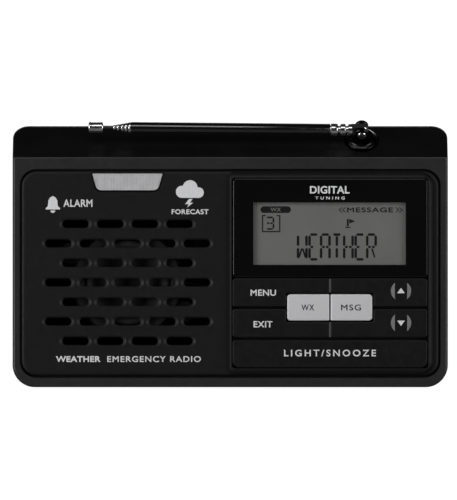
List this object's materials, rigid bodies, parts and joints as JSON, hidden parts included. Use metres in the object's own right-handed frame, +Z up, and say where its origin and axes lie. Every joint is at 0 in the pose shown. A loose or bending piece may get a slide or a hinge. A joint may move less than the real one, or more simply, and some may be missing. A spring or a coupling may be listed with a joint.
{
  "type": "emergency radio",
  "caption": "Desk weather-alert radio with a leaning front, slotted speaker, display window, keys, alert lens, folding telescopic antenna and hinged battery door.",
  "frame": {"origin": "on the ground under the middle of the whole object's box", "axes": "+X to the viewer's right, +Y to the back, +Z up"},
  "size_m": [0.165, 0.049, 0.0957],
  "materials": {
    "gloss_case": "moulded, glossy near-black",
    "matte_case": "moulded, fine spark texture, black",
    "matte_panel": "moulded, fine spark texture, black",
    "key": "moulded, satin black",
    "silver_key": "silver painted plastic",
    "window": "polished smoked acrylic",
    "lens": "frosted, with fine vertical ribs",
    "lamp": "tinted clear",
    "lcd": "gray-green liquid crystal glass",
    "white_plastic": "moulded",
    "silicone": "moulded silicone",
    "board": "green circuit board",
    "steel": "plated sheet steel",
    "cone_paper": "pressed black paper",
    "chrome": "bright plated",
    "dark_chrome": "dark plated",
    "brass": "turned",
    "wire": "insulated wire",
    "rubber": "moulded"
  },
  "bodies": {
    "radio": {"front_housing": "gloss_case", "rear_housing": "matte_case", "front_panel": "matte_panel", "alert_lens": "lens", "alert_lamp": "lamp", "lcd_window": "window", "lcd_glass": "lcd", "lcd_backlight": "white_plastic", "lcd_holder": "white_plastic", "key_membrane": "silicone", "main_board": "board", "power_board": "board", "tuner_shield": "steel", "volume_pot": "steel", "switch_body": "steel", "speaker_frame": "steel", "speaker_cone": "cone_paper", "speaker_magnet": "steel", "speaker_retainer": "steel", "contact_positive": "steel", "contact_negative": "steel", "contact_bridge_left": "steel", "contact_bridge_right": "steel", "battery_spring_1": "steel", "battery_spring_2": "steel", "battery_spring_3": "steel", "dc_inlet": "gloss_case", "aerial_socket": "chrome", "speaker_lead": "wire", "antenna_lead": "wire", "power_lead": "wire", "antenna_lug": "brass", "case_screw_1": "steel", "foot_1": "rubber", "case_screw_2": "steel", "foot_2": "rubber", "case_screw_3": "steel", "foot_3": "rubber", "case_screw_4": "steel", "foot_4": "rubber"},
    "antenna_swivel": {"antenna_base": "dark_chrome", "antenna_pivot": "chrome", "antenna_nut": "brass"},
    "antenna_mast": {"antenna_elbow": "chrome", "antenna_tube_1": "dark_chrome"},
    "antenna_section_2": {"antenna_tube_2": "chrome"},
    "antenna_section_3": {"antenna_tube_3": "chrome"},
    "antenna_section_4": {"antenna_tube_4": "chrome"},
    "antenna_section_5": {"antenna_tube_5": "chrome"},
    "antenna_rod_body": {"antenna_rod": "chrome"},
    "volume_knob": {"volume_wheel": "key"},
    "power_knob": {"power_slider": "key"},
    "door": {"battery_door": "matte_case"},
    "key_menu_body": {"key_menu": "key"},
    "key_exit_body": {"key_exit": "key"},
    "key_up_body": {"key_up": "key"},
    "key_down_body": {"key_down": "key"},
    "key_weather_body": {"key_weather": "silver_key"},
    "key_message_body": {"key_message": "silver_key"},
    "light_snooze_bar_body": {"light_snooze_bar": "key"}
  },
  "joints": [
    {"name": "antenna_turn", "type": "hinge", "parent": "radio", "child": "antenna_swivel", "pos_m": [0.0499, 0.01415, 0.08732], "axis": [0, -0.3907, 0.9205], "continuous": true},
    {"name": "antenna_tilt", "type": "hinge", "parent": "antenna_swivel", "child": "antenna_mast", "pos_m": [0.0499, 0.01204, 0.0923], "axis": [0, 0.9205, 0.3907], "range_deg": [0, 89.3]},
    {"name": "antenna_slide_1", "type": "slide", "parent": "antenna_mast", "child": "antenna_section_2", "axis": [-0.9999, -0.0048, 0.0112], "range_m": [0, 0.062]},
    {"name": "antenna_slide_2", "type": "slide", "parent": "antenna_section_2", "child": "antenna_section_3", "axis": [-0.9999, -0.0048, 0.0112], "range_m": [0, 0.062]},
    {"name": "antenna_slide_3", "type": "slide", "parent": "antenna_section_3", "child": "antenna_section_4", "axis": [-0.9999, -0.0048, 0.0112], "range_m": [0, 0.062]},
    {"name": "antenna_slide_4", "type": "slide", "parent": "antenna_section_4", "child": "antenna_section_5", "axis": [-0.9999, -0.0048, 0.0112], "range_m": [0, 0.062]},
    {"name": "antenna_slide_5", "type": "slide", "parent": "antenna_section_5", "child": "antenna_rod_body", "axis": [-0.9999, -0.0048, 0.0112], "range_m": [0, 0.062]},
    {"name": "key_menu_press", "type": "slide", "parent": "radio", "child": "key_menu_body", "axis": [0, 0.9397, -0.342], "range_m": [0, 0.0008], "stiffness_N_per_m": 900, "springref_m": -0.0004},
    {"name": "key_exit_press", "type": "slide", "parent": "radio", "child": "key_exit_body", "axis": [0, 0.9397, -0.342], "range_m": [0, 0.0008], "stiffness_N_per_m": 900, "springref_m": -0.0004},
    {"name": "key_up_press", "type": "slide", "parent": "radio", "child": "key_up_body", "axis": [0, 0.9397, -0.342], "range_m": [0, 0.0008], "stiffness_N_per_m": 900, "springref_m": -0.0004},
    {"name": "key_down_press", "type": "slide", "parent": "radio", "child": "key_down_body", "axis": [0, 0.9397, -0.342], "range_m": [0, 0.0008], "stiffness_N_per_m": 900, "springref_m": -0.0004},
    {"name": "key_weather_press", "type": "slide", "parent": "radio", "child": "key_weather_body", "axis": [0, 0.9397, -0.342], "range_m": [0, 0.0008], "stiffness_N_per_m": 900, "springref_m": -0.0004},
    {"name": "key_message_press", "type": "slide", "parent": "radio", "child": "key_message_body", "axis": [0, 0.9397, -0.342], "range_m": [0, 0.0008], "stiffness_N_per_m": 900, "springref_m": -0.0004},
    {"name": "light_snooze_bar_press", "type": "slide", "parent": "radio", "child": "light_snooze_bar_body", "axis": [0, 0.9397, -0.342], "range_m": [0, 0.0008], "stiffness_N_per_m": 900, "springref_m": -0.0004},
    {"name": "volume_turn", "type": "hinge", "parent": "radio", "child": "volume_knob", "pos_m": [0.0732, -0.00117, 0.02914], "axis": [0, -0.9397, 0.342], "range_deg": [-150, 150]},
    {"name": "power_slide", "type": "slide", "parent": "radio", "child": "power_knob", "axis": [0, 0.342, 0.9397], "range_m": [-0.002, 0.002]},
    {"name": "battery_door_hinge", "type": "hinge", "parent": "radio", "child": "door", "pos_m": [0, 0.02389, 0.0051], "axis": [-1, 0, 0], "range_deg": [0, 90]}
  ]
}
